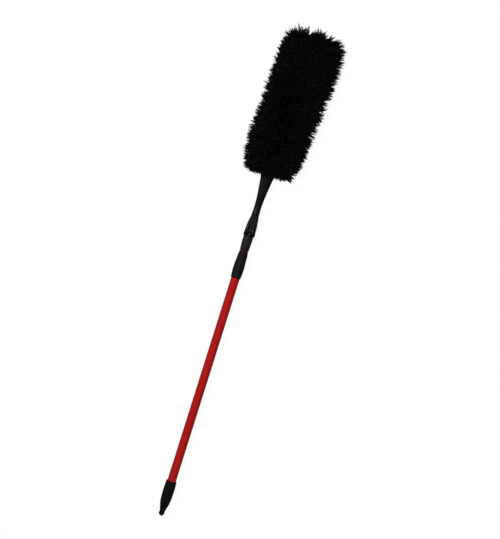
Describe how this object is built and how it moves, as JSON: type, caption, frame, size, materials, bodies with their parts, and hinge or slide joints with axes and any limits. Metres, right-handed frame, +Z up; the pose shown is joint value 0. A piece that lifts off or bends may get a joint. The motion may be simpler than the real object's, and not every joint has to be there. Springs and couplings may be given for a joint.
{
  "type": "duster on a telescopic pole",
  "caption": "Long black pile duster on a flat bendable wand, screwed to a red twist-lock telescopic pole with a hanging cap.",
  "frame": {"origin": "on the floor, in the middle of the footprint of the duster as it lies on its back with the pole collapsed", "axes": "+Y along the pole from the hang cap to the head, +X to the side the pile leans to, +Z up, across the flat faces of the blade"},
  "size_m": [0.177, 1.274, 0.0498],
  "materials": {
    "red_paint": "satin",
    "black_cap": "matte",
    "grey_moulding": "satin",
    "gloss_black": "gloss",
    "white_bush": "satin",
    "cam_plastic": "satin",
    "steel": "satin",
    "washer_rubber": "matte",
    "blade_plastic": "satin",
    "pile_fibre": "matte",
    "cuff_elastic": "matte"
  },
  "bodies": {
    "outer_pole": {"outer_tube": "red_paint", "hang_cap": "black_cap", "collar_sleeve": "grey_moulding", "guide_bush": "white_bush"},
    "lock_ring": {"cam_ring": "white_bush"},
    "inner_pole": {"inner_tube": "red_paint", "cam_plug": "cam_plastic", "cam_retainer": "steel", "plug_pin": "steel", "tip_pin": "steel", "pole_tip": "grey_moulding"},
    "washer": {"socket_washer": "washer_rubber"},
    "wand": {"wand_handle": "gloss_black", "blade_rivets": "steel", "sleeve_cuff": "cuff_elastic", "blade_1": "blade_plastic", "core_wires_1": "steel", "pile_1": "pile_fibre"},
    "head_lower": {"blade_2": "blade_plastic", "core_wires_2": "steel", "pile_2": "pile_fibre"},
    "head_middle": {"blade_3": "blade_plastic", "core_wires_3": "steel", "pile_3": "pile_fibre"},
    "head_upper": {"blade_4": "blade_plastic", "core_wires_4": "steel", "pile_4": "pile_fibre"}
  },
  "joints": [
    {"name": "extension", "type": "slide", "parent": "outer_pole", "child": "lock_ring", "axis": [0, 1, 0], "range_m": [0, 0.54]},
    {"name": "twist_lock", "type": "hinge", "parent": "lock_ring", "child": "inner_pole", "pos_m": [-0.0095, 0, 0.01475], "axis": [0, 1, 0], "range_deg": [0, 70]},
    {"name": "wand_lift", "type": "slide", "parent": "inner_pole", "child": "washer", "axis": [0, 1, 0], "range_m": [0, 0.0254]},
    {"name": "wand_unscrew", "type": "hinge", "parent": "washer", "child": "wand", "pos_m": [-0.0095, 0, 0.01475], "axis": [0, 1, 0], "range_deg": [0, 1800]},
    {"name": "bend_1", "type": "hinge", "parent": "wand", "child": "head_lower", "pos_m": [-0.0095, 0.318, 0.01475], "axis": [1, 0, 0], "range_deg": [-30, 30]},
    {"name": "bend_2", "type": "hinge", "parent": "head_lower", "child": "head_middle", "pos_m": [-0.0095, 0.413, 0.01475], "axis": [1, 0, 0], "range_deg": [-30, 30]},
    {"name": "bend_3", "type": "hinge", "parent": "head_middle", "child": "head_upper", "pos_m": [-0.0095, 0.508, 0.01475], "axis": [1, 0, 0], "range_deg": [-30, 30]}
  ],
  "couplings": [
    {"joint": "wand_lift", "follows": "wand_unscrew", "m_per_rad": 0.00080851},
    {"joint": "bend_2", "follows": "bend_1", "ratio": 1},
    {"joint": "bend_3", "follows": "bend_1", "ratio": 1}
  ]
}
